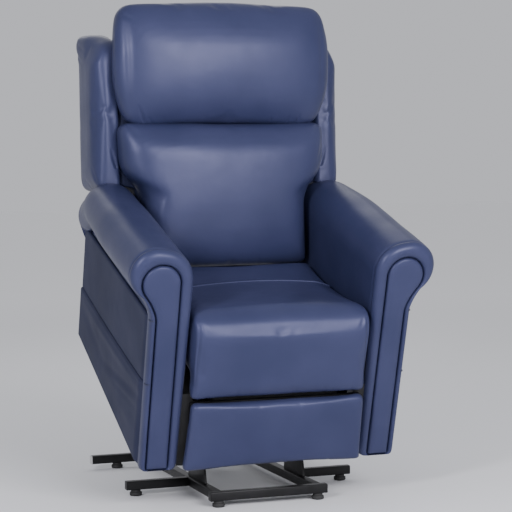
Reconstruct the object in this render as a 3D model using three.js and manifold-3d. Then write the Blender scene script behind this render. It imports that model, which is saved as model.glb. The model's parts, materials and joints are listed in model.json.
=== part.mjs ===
// Lift recliner chair, in millimetres, +Z up, facing -Y, drawn with the lift about two thirds up.
// The chair body is modelled level in its own frame (y = 0 at the arm fronts) and then tipped by the
// lift; the back is modelled in a frame of its own that leans from the recline pivot.
import * as THREE from "three";
import { mergeVertices } from "three/addons/utils/BufferGeometryUtils.js";
import Module from "manifold-3d";

const wasm = await Module();
wasm.setup();

// ---- driving dimensions -------------------------------------------------------------------------
const GAP = 0.3; // between pieces that touch
const TUBE = 25; // side of the square steel tube; its ends are plugged
const TUBE_CORNER = 2.5;
const PIN = 6; // small pivot pin radius
const BIG_PIN = 8;
const RUNNING = 0.3; // radial clearance of a pin in its hole

// base, in the floor frame
const FOOT_HEIGHT = 17.2;
const FOOT_RADIUS = 17.5;
const BASE_Z = FOOT_HEIGHT + GAP + TUBE / 2;
const RAIL_X = 146;
const FRONT_TUBE = { y: -19, half: 168, footX: 145 };
const REAR_TUBE = { y: 692, half: 325, footX: 244.5 };
const OUTRIGGER = { y: 230, end: 337, footX: 311 };

// lift: a four-bar on each side. Angles are those of the drawn pose.
const CHAIR_TILT = 17.5;
const CHAIR_AT = [-11.7, 70.9]; // y, z of the chair frame's origin
const REAR_PIVOT = [200, 181.7];
const REAR_LINK = { length: 285.95, angle: 39.69, width: 15 };
const FRONT_PIVOT = [133.7, 149.2];
const FRONT_LINK = { length: 188.1, angle: 42.17, width: 12 };
const CHAIR_REAR_PIVOT = [500, 150]; // in the chair frame
const CHAIR_FRONT_PIVOT = [333.3, 109.1];
const INNER_PLANE = [135, 141]; // x of the rear links, then brackets, then front links
const BRACKET_PLANE = [143, 149];
const OUTER_PLANE = [151, 157];

// actuators: hinge, direction and length to the rod's eye as drawn; along it, the bore and the outer
// tube's end; the rod's length; how much larger than its pin the eye's hole is, in radius
const LIFT_DRIVE = {
  x: 0, at: [601.6, 64.9], angle: 155.86, length: 463, bore: 143, tube: 300, rod: 260, slack: 9.3,
};
const RECLINE_DRIVE = {
  x: -75, at: [317.1, 218], angle: 10.56, length: 326.2, bore: 26, tube: 195, rod: 192, slack: 7,
};
const LEGREST_DRIVE = {
  x: 75, at: [264.7, 257.4], angle: 178.6, length: 230.5, bore: 45, tube: 125, rod: 120, slack: 6.4,
};
const LIFT_LEVER = { length: 80, angle: 106.05 };
const RECLINE_LEVER = { length: 170, angle: -72 };
const LEGREST_LEVER = { length: 45, angle: 127 };
const LEVER_PLANE = [14, 19]; // x of a lever's plates, either side of the rod's eye
const LUG_PLANE = [22.5, 27.5]; // x of a hinge's plates, either side of the gearbox
const GEARBOX = { radius: 24, half: 19, length: 32 };
const MOTOR = { offset: 46, radius: 22, start: 24, end: 112 };
const TUBE_RADIUS = 16; // an actuator's outer tube
const BORE_RADIUS = 11.5;
const ROD_RADIUS = 10;
const EYE_HALF = 8; // half the eye's width
const EYE_WALL = 6;

// chair body, in the chair frame
const SEAT_HALF = 257;
const ARM_INNER = 263;
const ARM_OUTER = 362;
const ARM_DEPTH = 735;
const ARM_BOTTOM = 45;
const SIDE_SLOPE = 0.1306; // the arms' lower edge rises to the rear
const ROLL = { x: 357, z: 604, radius: 67 };
const FACING = 12; // depth of the front panel's recess
const SIDE_SKIN = 8;
const PLATE_PLANE = [222, 227]; // x of the mechanism side plates
const FRAME_Z = 184.5;
const FRAME_X = 176;

// leg rest: a lazy tong on each side, folded as drawn
const LEG_PIVOT = [62, 222];
const LEG_LINK = 150;
const LEG_FOLD = 7.3; // degrees left between the folded links and upright
const LEG_RISE = -12; // slope of the tong's travel
const LEG_WIDTH = 10;
const LEG_OUTER = [200, 205];
const LEG_INNER = [192, 197];
const LEG_BRACKET = [184, 190];

// back, in its own frame: y from the pivot to the rear, z along the back
const BACK_PIVOT = [585, 445];
const BACK_LEAN = 18.5;
const BACK_HALF = 365;
const SHELL = { lower: 255, upper: 309, step: 200, top: 690 }; // half widths, and heights
const WING_INNER = 310;

// ---- materials ----------------------------------------------------------------------------------
const finish = (color, roughness, metalness) => () =>
  new THREE.MeshStandardMaterial({ color, roughness, metalness });
const leather = finish(0x3f4a72, 0.42, 0);
const darkLeather = finish(0x37406a, 0.45, 0);
const blackSteel = finish(0x17181b, 0.45, 0.6);
const zinc = finish(0x9a9da1, 0.35, 0.9);
const rubber = finish(0x141414, 0.85, 0);
const casing = finish(0x202226, 0.55, 0);
const wood = finish(0x9c7b55, 0.8, 0);
const buttonGrey = finish(0xb9bcc0, 0.5, 0);

// ---- geometry helpers ---------------------------------------------------------------------------
const radians = THREE.MathUtils.degToRad;
const polar = ([y, z], length, degrees) => [
  y + length * Math.cos(radians(degrees)),
  z + length * Math.sin(radians(degrees)),
];
const [X, Y, Z] = [[1, 0, 0], [0, 1, 0], [0, 0, 1]].map((v) => new THREE.Vector3(...v));
const SIDE_VIEW = new THREE.Matrix4().makeBasis(Y, Z, X);
const FRONT_VIEW = new THREE.Matrix4().makeBasis(X, Z, Y.clone().negate());

// a closed outline through the points, each corner rounded by its radius
function outline(points, radii = 0) {
  const shape = new THREE.Shape();
  const corners = points.map(([a, b]) => new THREE.Vector2(a, b));
  corners.forEach((corner, i) => {
    const radius = Array.isArray(radii) ? radii[i] ?? 0 : radii;
    const toward = (other) => {
      const leg = other.clone().sub(corner);
      return corner.clone().addScaledVector(leg.normalize(), radius);
    };
    const start = toward(corners[(i + corners.length - 1) % corners.length]);
    const end = toward(corners[(i + 1) % corners.length]);
    if (i === 0) shape.moveTo(start.x, start.y);
    else shape.lineTo(start.x, start.y);
    if (radius > 0) shape.quadraticCurveTo(corner.x, corner.y, end.x, end.y);
  });
  shape.closePath();
  return shape;
}

const box2 = (a0, b0, a1, b1, radius = 0) => outline([[a0, b0], [a1, b0], [a1, b1], [a0, b1]], radius);

function withHole(shape, [a, b], radius, sides = 20) {
  const circle = new THREE.EllipseCurve(a, b, radius, radius, 0, 2 * Math.PI, true);
  shape.holes.push(new THREE.Path(circle.getPoints(sides).slice(0, -1)));
  return shape;
}

// a flat bar with round ends, and holes of the given radii at its ends (0 for none)
function bar(p, q, width, holeP = 0, holeQ = 0) {
  const angle = Math.atan2(q[1] - p[1], q[0] - p[0]);
  const shape = new THREE.Shape();
  shape.absarc(p[0], p[1], width, angle + Math.PI / 2, angle + 1.5 * Math.PI, false);
  shape.absarc(q[0], q[1], width, angle - Math.PI / 2, angle + Math.PI / 2, false);
  shape.closePath();
  if (holeP > 0) withHole(shape, p, holeP);
  if (holeQ > 0) withHole(shape, q, holeQ);
  return shape;
}

// outline drawn in (y, z), solid between two x; outline drawn in (x, z), solid between two y
function extrude(shape, view, low, high, bevel, steps) {
  const geometry = new THREE.ExtrudeGeometry(shape, {
    depth: high - low - 2 * bevel,
    curveSegments: steps,
    bevelEnabled: bevel > 0,
    bevelThickness: bevel,
    bevelSize: bevel,
    bevelOffset: -bevel,
    bevelSegments: 2,
  });
  geometry.translate(0, 0, bevel);
  return geometry.applyMatrix4(view);
}
const acrossX = (shape, x0, x1, bevel = 0, steps = 3) =>
  extrude(shape, SIDE_VIEW, x0, x1, bevel, steps).translate(x0, 0, 0);
const acrossY = (shape, y0, y1, bevel = 0, steps = 3) =>
  extrude(shape, FRONT_VIEW, y0, y1, bevel, steps).translate(0, y1, 0);

function rodX(x0, x1, [y, z], radius, sides = 12) {
  const geometry = new THREE.CylinderGeometry(radius, radius, x1 - x0, sides);
  return geometry.rotateZ(Math.PI / 2).translate((x0 + x1) / 2, y, z);
}

function rodY(y0, y1, [x, z], radius, sides = 16) {
  const geometry = new THREE.CylinderGeometry(radius, radius, y1 - y0, sides);
  return geometry.translate(x, (y0 + y1) / 2, z);
}

const mirrored = (range, side) => (side > 0 ? range : [-range[1], -range[0]]);

function toSolid(geometry) {
  const bare = geometry.clone();
  bare.deleteAttribute("normal");
  bare.deleteAttribute("uv");
  const merged = mergeVertices(bare, 1e-3);
  return new wasm.Manifold(
    new wasm.Mesh({
      numProp: 3,
      vertProperties: new Float32Array(merged.attributes.position.array),
      triVerts: new Uint32Array(merged.index.array),
    }),
  );
}

function toGeometry(solid) {
  const { vertProperties, triVerts } = solid.getMesh();
  const geometry = new THREE.BufferGeometry();
  geometry.setAttribute("position", new THREE.BufferAttribute(new Float32Array(vertProperties), 3));
  geometry.setIndex(new THREE.BufferAttribute(new Uint32Array(triVerts), 1));
  return geometry;
}

const join = (...parts) => toGeometry(parts.map(toSolid).reduce((a, b) => a.add(b)));
const cut = (body, ...tools) => toGeometry(tools.map(toSolid).reduce((a, b) => a.subtract(b), toSolid(body)));
const common = (a, b) => toGeometry(toSolid(a).intersect(toSolid(b)));

function place(group, name, geometry, material) {
  const mesh = new THREE.Mesh(geometry, material());
  mesh.name = name;
  group.add(mesh);
}

const SIDES = [["left", -1], ["right", 1]];

// ---- base ---------------------------------------------------------------------------------------
function tubeSection(a, b) {
  return box2(a - TUBE / 2, b - TUBE / 2, a + TUBE / 2, b + TUBE / 2, TUBE_CORNER);
}
const tubeX = (x0, x1, [y, z]) => acrossX(tubeSection(y, z), x0, x1);
const tubeY = (y0, y1, [x, z]) => acrossY(tubeSection(x, z), y0, y1);

function foot(x, y) {
  const neck = 15;
  const points = [
    [0, 0], [neck + 0.5, 0], [FOOT_RADIUS, 2], [FOOT_RADIUS, 12], [neck, FOOT_HEIGHT], [0, FOOT_HEIGHT],
  ].map(([r, z]) => new THREE.Vector2(r, z));
  return new THREE.LatheGeometry(points, 20).rotateX(Math.PI / 2).translate(x, y, 0);
}

function buildBase() {
  const base = new THREE.Group();
  for (const [label, { y, half }] of [["front", FRONT_TUBE], ["rear", REAR_TUBE]]) {
    place(base, `base_${label}_tube`, tubeX(-half, half, [y, BASE_Z]), blackSteel);
  }
  const railStart = FRONT_TUBE.y + TUBE / 2 + GAP;
  const railEnd = REAR_TUBE.y - TUBE / 2 - GAP;
  const bracket = [[90, 0], [250, 0], [224, 160], [190, 162], [112, 122], [112, 92]]
    .map(([y, z]) => [y, z + BASE_Z + TUBE / 2 + GAP]);
  for (const [label, side] of SIDES) {
    place(base, `base_rail_${label}`, tubeY(railStart, railEnd, [side * RAIL_X, BASE_Z]), blackSteel);
    const arm = mirrored([RAIL_X + TUBE / 2 + GAP, OUTRIGGER.end], side);
    place(base, `outrigger_${label}`, tubeX(...arm, [OUTRIGGER.y, BASE_Z]), blackSteel);
    const shape = withHole(outline(bracket, [4, 4, 10, 10, 12, 12]), REAR_PIVOT, BIG_PIN + RUNNING);
    withHole(shape, FRONT_PIVOT, PIN + RUNNING);
    place(base, `lift_bracket_${label}`, acrossX(shape, ...mirrored(BRACKET_PLANE, side)), blackSteel);
    place(base, `foot_front_${label}`, foot(side * FRONT_TUBE.footX, FRONT_TUBE.y), rubber);
    place(base, `foot_side_${label}`, foot(side * OUTRIGGER.footX, OUTRIGGER.y), rubber);
    place(base, `foot_rear_${label}`, foot(side * REAR_TUBE.footX, REAR_TUBE.y), rubber);
  }
  const ear = outline([[585, 50], [585, 82], [610, 84], [railEnd, 42], [railEnd, 19], [625, 40]], 5);
  place(base, "lift_actuator_bracket", driveLugs(ear, LIFT_DRIVE), blackSteel);
  return base;
}

// two plates astride an actuator's eye, with the pin through them
function driveLugs(shape, drive) {
  const plates = SIDES.map(([, side]) => acrossX(shape, ...mirrored(LUG_PLANE, side)));
  const pinEnd = LUG_PLANE[1] + 1.5;
  return join(...plates, rodX(-pinEnd, pinEnd, drive.at, PIN)).translate(drive.x, 0, 0);
}

// ---- lift linkage -------------------------------------------------------------------------------
function leverPlates(from, to, x) {
  const plates = SIDES.map(([, side]) => acrossX(bar(from, to, 14), ...mirrored(LEVER_PLANE, side)));
  const pinEnd = LEVER_PLANE[1] + 2;
  return join(...plates, rodX(-pinEnd, pinEnd, to, PIN)).translate(x, 0, 0);
}

function buildRearLinks() {
  const links = new THREE.Group();
  const far = polar(REAR_PIVOT, REAR_LINK.length, REAR_LINK.angle);
  const eye = polar(REAR_PIVOT, LIFT_LEVER.length, LIFT_LEVER.angle);
  const tubeEnd = INNER_PLANE[0] + 1;
  const shape = bar(REAR_PIVOT, far, REAR_LINK.width, 0, BIG_PIN + RUNNING);
  const plates = SIDES.map(([, side]) => acrossX(shape, ...mirrored(INNER_PLANE, side)));
  const stubEnd = BRACKET_PLANE[1] + 1;
  place(
    links,
    "rear_lift_links",
    join(
      rodX(-tubeEnd, tubeEnd, REAR_PIVOT, 14, 20),
      rodX(-stubEnd, stubEnd, REAR_PIVOT, BIG_PIN),
      leverPlates(REAR_PIVOT, eye, 0),
      ...plates,
    ),
    blackSteel,
  );
  return links;
}

function buildFrontLinks() {
  const links = new THREE.Group();
  const far = polar(FRONT_PIVOT, FRONT_LINK.length, FRONT_LINK.angle);
  const openHole = PIN + 1.5; // the four-bar's open pivot has clearance
  const shape = bar(FRONT_PIVOT, far, FRONT_LINK.width, 0, openHole);
  const stubSpan = [BRACKET_PLANE[0] - 0.3, OUTER_PLANE[1] + 2];
  for (const [label, side] of SIDES) {
    const plate = acrossX(shape, ...mirrored(OUTER_PLANE, side));
    const stub = rodX(...mirrored(stubSpan, side), FRONT_PIVOT, PIN);
    place(links, `front_lift_link_${label}`, join(plate, stub), blackSteel);
  }
  return links;
}

// an actuator in its own frame: +Y runs from the hinge to the rod's eye
function buildDrive(name, drive, motorSide) {
  const group = new THREE.Group();
  group.position.set(drive.x, ...drive.at);
  group.rotation.x = radians(drive.angle);
  const { radius, half, length } = GEARBOX;
  const gearbox = acrossX(bar([0, 0], [length, 0], radius), -half, half);
  const tube = rodY(length - 12, drive.tube, [0, 0], TUBE_RADIUS);
  const bore = rodY(drive.bore, drive.tube + 1, [0, 0], BORE_RADIUS);
  const eyeHole = rodX(-half - 1, half + 1, [0, 0], PIN + RUNNING);
  const bridgeSpan = mirrored([half - 9, MOTOR.offset - 16], motorSide);
  const bridge = acrossX(box2(MOTOR.start, -14, MOTOR.start + 26, 14), ...bridgeSpan);
  const motor = rodY(MOTOR.start, MOTOR.end, [motorSide * MOTOR.offset, 0], MOTOR.radius);
  place(group, `${name}_actuator`, cut(join(gearbox, tube, bridge, motor), bore, eyeHole), casing);
  const holeRadius = PIN + drive.slack;
  const rod = rodY(drive.length - drive.rod, drive.length - 2, [0, 0], ROD_RADIUS);
  const eye = rodX(-EYE_HALF, EYE_HALF, [drive.length, 0], holeRadius + EYE_WALL, 24);
  const hole = rodX(-ROD_RADIUS - 1, ROD_RADIUS + 1, [drive.length, 0], holeRadius, 24);
  place(group, `${name}_actuator_rod`, cut(join(rod, eye), hole), zinc);
  return group;
}

// ---- chair body ---------------------------------------------------------------------------------
function buildLiftFrame(chair) {
  const lugShape = bar(CHAIR_FRONT_PIVOT, [CHAIR_FRONT_PIVOT[0], FRAME_Z], 13);
  const plateShape = outline(
    [[40, 205], [62, 170], [575, 170], [605, 262], [605, 467], [563, 467], [545, 330], [470, 299.5],
      [40, 299.5]],
    [8, 8, 10, 10, 16, 16, 20, 20, 8],
  );
  for (const pivot of [LEG_PIVOT, BACK_PIVOT]) withHole(plateShape, pivot, BIG_PIN + RUNNING);
  const spacerSpan = [FRAME_X + 4, PLATE_PLANE[0] - GAP];
  for (const [label, side] of SIDES) {
    const tube = tubeY(60, 600, [side * FRAME_X, FRAME_Z]);
    const lug = acrossX(lugShape, ...mirrored([OUTER_PLANE[1] + 1.9, FRAME_X - 11], side));
    const pin = rodX(...mirrored([BRACKET_PLANE[1] + 0.7, FRAME_X - 16], side), CHAIR_FRONT_PIVOT, PIN);
    const spacers = [120, 540].map((y) =>
      acrossX(box2(y - 12, FRAME_Z - 12, y + 12, FRAME_Z + 12), ...mirrored(spacerSpan, side)));
    place(chair, `lift_frame_side_${label}`, join(tube, lug, pin, ...spacers), blackSteel);
    place(chair, `mechanism_plate_${label}`, acrossX(plateShape, ...mirrored(PLATE_PLANE, side)), blackSteel);
  }
  const inner = FRAME_X - TUBE / 2 - GAP;
  place(chair, "lift_frame_front_cross", tubeX(-inner, inner, [80, FRAME_Z]), blackSteel);
  const rearLug = bar(CHAIR_REAR_PIVOT, [CHAIR_REAR_PIVOT[0], FRAME_Z], TUBE / 2);
  const rearLugs = SIDES.map(([, side]) => acrossX(rearLug, ...mirrored(BRACKET_PLANE, side)));
  const pinSpan = [INNER_PLANE[0] - 1.5, BRACKET_PLANE[0] + 3];
  const rearPins = SIDES.map(([, side]) => rodX(...mirrored(pinSpan, side), CHAIR_REAR_PIVOT, BIG_PIN));
  const rearCross = tubeX(-inner, inner, [CHAIR_REAR_PIVOT[0], FRAME_Z]);
  place(chair, "lift_frame_rear_cross", join(rearCross, ...rearLugs, ...rearPins), blackSteel);
  const midEnd = PLATE_PLANE[0] - GAP;
  place(
    chair,
    "lift_frame_mid_cross",
    join(
      tubeX(-midEnd, midEnd, [312.5, 274.5]),
      driveLugs(bar([312, 272], RECLINE_DRIVE.at, 12), RECLINE_DRIVE),
      driveLugs(bar([308, 270], LEGREST_DRIVE.at, 12), LEGREST_DRIVE),
    ),
    blackSteel,
  );
}

function buildSeat(chair) {
  const ring = new THREE.Shape(box2(20, -215, 480, 215, 10).getPoints());
  ring.holes.push(new THREE.Path(box2(55, -185, 445, 185, 10).getPoints()));
  const flat = new THREE.Matrix4().makeBasis(Y, X, Z.clone().negate());
  const slab = (shape, depth) =>
    new THREE.ExtrudeGeometry(shape, { depth, bevelEnabled: false, curveSegments: 3 }).applyMatrix4(flat);
  const [wire, wave, bends] = [4, 16, 12]; // of the zigzag springs
  const springs = [-132, -66, 0, 66, 132].map((x) => {
    const edge = (offset) => Array.from({ length: bends + 1 }, (_, i) =>
      [50 + (400 * i) / bends, x + (i % 2 ? wave : -wave) + offset]);
    return slab(outline([...edge(-3), ...edge(3).reverse()]), wire).translate(0, 0, 311);
  });
  place(chair, "seat_spring_frame", join(slab(ring, 18).translate(0, 0, 318), ...springs), zinc);
  const section = outline(
    [[-28, 266], [6, 266], [14, 322], [472, 322], [472, 446], [310, 448], [6, 492], [-30, 478]],
    [14, 14, 6, 16, 20, 20, 18, 18],
  );
  place(chair, "seat_cushion", acrossX(section, -SEAT_HALF, SEAT_HALF, 10), leather);
}

function keyhole(grow) {
  const stem = [291 - grow, 352 + grow];
  const head = { x: 346.5, z: 575, radius: 55.5 + grow };
  const shape = new THREE.Shape();
  shape.moveTo(stem[0], 0);
  shape.lineTo(stem[0], head.z);
  shape.absarc(head.x, head.z, head.radius, Math.PI, -0.6, true);
  shape.quadraticCurveTo(stem[1] + 8, 520, stem[1], 480);
  shape.lineTo(stem[1], 0);
  shape.closePath();
  return shape;
}

function mirrorX(geometry) {
  const flipped = geometry.index ? geometry.toNonIndexed() : geometry.clone();
  flipped.scale(-1, 1, 1);
  const { array } = flipped.attributes.position;
  for (let i = 0; i < array.length; i += 9) {
    const [second, third] = [array.slice(i + 3, i + 6), array.slice(i + 6, i + 9)];
    array.set([...third, ...second], i + 3); // keeps the faces pointing out
  }
  return flipped;
}

function armSection() {
  const shape = new THREE.Shape();
  shape.moveTo(ARM_INNER, 0);
  shape.lineTo(ARM_INNER, 610);
  shape.quadraticCurveTo(ARM_INNER, 664, 322, ROLL.z + ROLL.radius - 2);
  shape.absarc(ROLL.x, ROLL.z, ROLL.radius, 1.7, -1.05, true);
  shape.quadraticCurveTo(ARM_OUTER + 4, 520, ARM_OUTER, 485);
  shape.lineTo(ARM_OUTER, 0);
  shape.closePath();
  return shape;
}

function buildArms(chair) {
  const rear = ARM_BOTTOM + SIDE_SLOPE * ARM_DEPTH;
  const sideView = outline(
    [[0, ARM_BOTTOM], [ARM_DEPTH, rear], [ARM_DEPTH, 560], [700, 591], [600, 640], [540, 662], [0, 675]],
    [0, 10, 20, 20, 40, 20, 8],
  );
  const above = (y, rise) => ARM_BOTTOM + SIDE_SLOPE * y + rise;
  const face = common(acrossY(keyhole(-0.8), 1.5, FACING - GAP, 0, 7), acrossX(sideView, 200, 500));
  const recess = acrossY(keyhole(0), -10, FACING, 0, 7);
  const roll = acrossY(armSection(), -5, ARM_DEPTH + 5, 0, 8);
  const core = cut(common(roll, acrossX(sideView, 200, 500)), recess);
  const [front, back, seam] = [14, 724, 300.5];
  const skins = {
    side: [outline([[front, seam + 1.5], [back, seam + 1.5], [back, 476], [front, 480]], 4), SIDE_SKIN],
    lower: [
      outline([[front, above(front, 4)], [back, above(back, 4)], [back, seam - 1.5], [front, seam - 1.5]], 4),
      SIDE_SKIN + 2,
    ],
  };
  for (const [label, side] of SIDES) {
    const facing = side > 0 ? (geometry) => geometry : mirrorX;
    place(chair, `arm_${label}`, facing(core), leather);
    place(chair, `arm_front_panel_${label}`, facing(face), leather);
    for (const [part, [shape, depth]] of Object.entries(skins)) {
      const span = mirrored([ARM_OUTER + GAP, ARM_OUTER + depth], side);
      place(chair, `arm_${part}_panel_${label}`, acrossX(shape, ...span, 2, 2), darkLeather);
    }
  }
  place(chair, "rear_skirt", acrossX(box2(715, 150, 721, 333, 2), -SEAT_HALF, SEAT_HALF), darkLeather);
}

// ---- handset ------------------------------------------------------------------------------------
const HANDSET = { x: [376.5, 398.5], y: [110, 158], z: [200, 350] };
const POCKET = { x: [372.6, 402.4], y: [104, 164], z: [190, 300], wall: 2.6 };
const BUTTON = { at: [[134, 334], [134, 314]], radius: 7, travel: 1.5 };

function buildHandset(chair) {
  const { wall } = POCKET;
  const block = (x, y, z, radius = 0) => acrossX(box2(y[0], z[0], y[1], z[1], radius), ...x);
  const outer = block(POCKET.x, POCKET.y, POCKET.z, 6);
  const inner = block(
    [POCKET.x[0] + wall, POCKET.x[1] - wall],
    [POCKET.y[0] + wall, POCKET.y[1] - wall],
    [POCKET.z[0] + wall, POCKET.z[1] + 1],
  );
  place(chair, "handset_pocket", cut(outer, inner), darkLeather);
  const face = HANDSET.x[1];
  const { radius, travel } = BUTTON;
  const wells = BUTTON.at.map((at) => rodX(face - 2 * travel - 1, face + 1, at, radius + 0.4, 20));
  const [y0, y1] = HANDSET.y;
  const [z0, z1] = HANDSET.z;
  place(chair, "handset", cut(acrossX(box2(y0, z0, y1, z1, 10), ...HANDSET.x, 4), ...wells), casing);
  ["raise", "lower"].forEach((name, i) => {
    const button = rodX(face - 2, face + 2, BUTTON.at[i], radius, 20);
    place(chair, `handset_button_${name}`, button, buttonGrey);
  });
}

// ---- leg rest -----------------------------------------------------------------------------------
function buildLegrest(chair) {
  const knee = polar(LEG_PIVOT, LEG_LINK, -90 - LEG_FOLD + LEG_RISE);
  const tip = polar(knee, LEG_LINK, 90 + LEG_FOLD + LEG_RISE);
  const hole = PIN + RUNNING;
  const outerShape = bar(LEG_PIVOT, knee, LEG_WIDTH, BIG_PIN + RUNNING);
  const innerShape = bar(knee, tip, LEG_WIDTH, hole, hole);
  for (const [label, side] of SIDES) {
    const outer = acrossX(outerShape, ...mirrored(LEG_OUTER, side));
    const kneePin = rodX(...mirrored([LEG_INNER[0] - 0.8, LEG_OUTER[1]], side), knee, PIN);
    const inner = acrossX(innerShape, ...mirrored(LEG_INNER, side));
    place(chair, `legrest_outer_link_${label}`, join(outer, kneePin), blackSteel);
    place(chair, `legrest_inner_link_${label}`, inner, blackSteel);
  }
  const shaftEnd = LEG_OUTER[0] - GAP;
  const stubEnd = PLATE_PLANE[1] + 2;
  const eye = polar(LEG_PIVOT, LEGREST_LEVER.length, LEGREST_LEVER.angle);
  place(
    chair,
    "legrest_shaft",
    join(
      rodX(-shaftEnd, shaftEnd, LEG_PIVOT, 10.5),
      rodX(-stubEnd, stubEnd, LEG_PIVOT, BIG_PIN),
      leverPlates(LEG_PIVOT, eye, LEGREST_DRIVE.x),
    ),
    blackSteel,
  );
  const board = acrossY(box2(-245, 58, 245, 244, 6), -12, -3);
  const bracket = outline([
    [-6, 190], [tip[0] + 4, 218], [tip[0] + 11, 226], [tip[0] + 8, 240], [tip[0] - 6, 242], [-6, 242],
  ], 2);
  const brackets = SIDES.map(([, side]) => acrossX(bracket, ...mirrored(LEG_BRACKET, side)));
  const pinSpan = [LEG_BRACKET[0] + 1, LEG_INNER[1] + 0.8];
  const pins = SIDES.map(([, side]) => rodX(...mirrored(pinSpan, side), tip, PIN));
  place(chair, "legrest_board", join(board, ...brackets, ...pins), blackSteel);
  place(chair, "legrest_pad", acrossY(box2(-258, 53, 258, 250, 14), -38, -12.3, 8), leather);
}

// ---- back ---------------------------------------------------------------------------------------
function buildBack() {
  const back = new THREE.Group();
  back.position.set(0, ...BACK_PIVOT);
  back.rotation.x = radians(-BACK_LEAN);
  const rails = SIDES.map(([, side]) => acrossX(box2(-28, -60, 9, 585), ...mirrored([190, 214], side)));
  const crossRails = [-50, 250, 560].map((z) => acrossX(box2(-24, z - 12, 5, z + 12), -200, 200));
  const pins = SIDES.map(([, side]) => rodX(...mirrored([205, PLATE_PLANE[1] + 2], side), [0, 0], BIG_PIN));
  const lever = polar([0, 0], RECLINE_LEVER.length, RECLINE_LEVER.angle + BACK_LEAN);
  place(
    back,
    "back_frame",
    join(...rails, ...crossRails, ...pins, leverPlates([-10, -50], lever, RECLINE_DRIVE.x)),
    wood,
  );
  const { lower, upper, step, top } = SHELL;
  const body = outline(
    [[-lower, -60], [lower, -60], [lower, step - 4], [upper, step], [upper, top - 50], [lower, top],
      [-lower, top], [-upper, top - 50], [-upper, step], [-lower, step - 4]],
    [0, 0, 0, 12, 25, 40, 40, 25, 12, 0],
  );
  // the hollow that the frame stands in, wider at its foot, where the mechanism plates reach up
  const [hip, rail, sill] = [lower - 12, 216, 45];
  const hollow = outline([[-hip, -96], [hip, -96], [hip, sill], [rail, sill], [rail, top - 100],
    [-rail, top - 100], [-rail, sill], [-hip, sill]]);
  place(back, "back_shell", cut(acrossY(body, -27, 150), acrossY(hollow, -30, 138)), darkLeather);
  place(
    back,
    "lumbar_cushion",
    acrossY(
      outline(
        [[-248, -20], [248, -20], [248, 200], [305, 236], [305, 376], [-305, 376], [-305, 236], [-248, 200]],
        [34, 34, 20, 36, 34, 34, 36, 20],
      ),
      -138, -29, 18,
    ),
    leather,
  );
  const pillow = outline(
    [[-296, 390], [296, 390], [316, 560], [306, 728], [-306, 728], [-316, 560]],
    [50, 50, 60, 70, 70, 60],
  );
  place(back, "headrest_cushion", acrossY(pillow, -142, -34, 28), leather);
  const wing = outline([[-48, 208], [146, 201], [150, 602], [-48, 540]], [20, 20, 34, 28]);
  for (const [label, side] of SIDES) {
    place(back, `wing_${label}`, acrossX(wing, ...mirrored([WING_INNER, BACK_HALF], side), 11), leather);
  }
  return back;
}

// ---- assembly -----------------------------------------------------------------------------------
const recliner = new THREE.Group();
const chair = new THREE.Group();
chair.position.set(0, ...CHAIR_AT);
chair.rotation.x = radians(CHAIR_TILT);
buildLiftFrame(chair);
buildSeat(chair);
buildArms(chair);
buildLegrest(chair);
buildHandset(chair);
chair.add(buildDrive("recline", RECLINE_DRIVE, -1), buildDrive("legrest", LEGREST_DRIVE, 1), buildBack());
recliner.add(buildBase(), buildRearLinks(), buildFrontLinks(), buildDrive("lift", LIFT_DRIVE, 1), chair);

// the origin is the middle of the box's underside
recliner.updateMatrixWorld(true);
const bounds = new THREE.Box3().setFromObject(recliner, true);
recliner.position.y = -(bounds.min.y + bounds.max.y) / 2;

export default recliner;
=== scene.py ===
"""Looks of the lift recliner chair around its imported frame: leather upholstery, steel base and light."""
import json
import math

import bmesh
import bpy
import numpy as np
from mathutils import Matrix, Vector, noise
from mathutils.bvhtree import BVHTree

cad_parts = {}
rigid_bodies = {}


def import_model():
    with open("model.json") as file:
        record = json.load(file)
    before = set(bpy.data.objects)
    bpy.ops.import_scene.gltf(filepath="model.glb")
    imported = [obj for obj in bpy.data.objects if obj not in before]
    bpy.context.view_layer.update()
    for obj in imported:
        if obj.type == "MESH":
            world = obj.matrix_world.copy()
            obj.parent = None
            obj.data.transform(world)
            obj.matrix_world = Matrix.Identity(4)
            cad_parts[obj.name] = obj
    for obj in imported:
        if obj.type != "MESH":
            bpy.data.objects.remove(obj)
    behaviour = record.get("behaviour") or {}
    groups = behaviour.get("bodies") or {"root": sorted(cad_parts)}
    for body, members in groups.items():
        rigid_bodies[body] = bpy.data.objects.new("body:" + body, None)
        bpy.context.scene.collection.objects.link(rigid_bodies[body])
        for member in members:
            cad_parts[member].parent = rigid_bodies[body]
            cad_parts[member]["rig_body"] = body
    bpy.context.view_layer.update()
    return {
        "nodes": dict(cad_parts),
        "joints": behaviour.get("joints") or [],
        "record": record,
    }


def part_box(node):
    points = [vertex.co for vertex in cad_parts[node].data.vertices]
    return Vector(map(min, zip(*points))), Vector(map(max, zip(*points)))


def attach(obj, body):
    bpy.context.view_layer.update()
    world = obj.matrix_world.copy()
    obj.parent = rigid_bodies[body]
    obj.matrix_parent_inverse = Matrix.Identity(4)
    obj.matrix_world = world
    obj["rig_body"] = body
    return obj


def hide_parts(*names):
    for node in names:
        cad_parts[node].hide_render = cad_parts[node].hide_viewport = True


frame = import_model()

MM = 0.001

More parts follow.
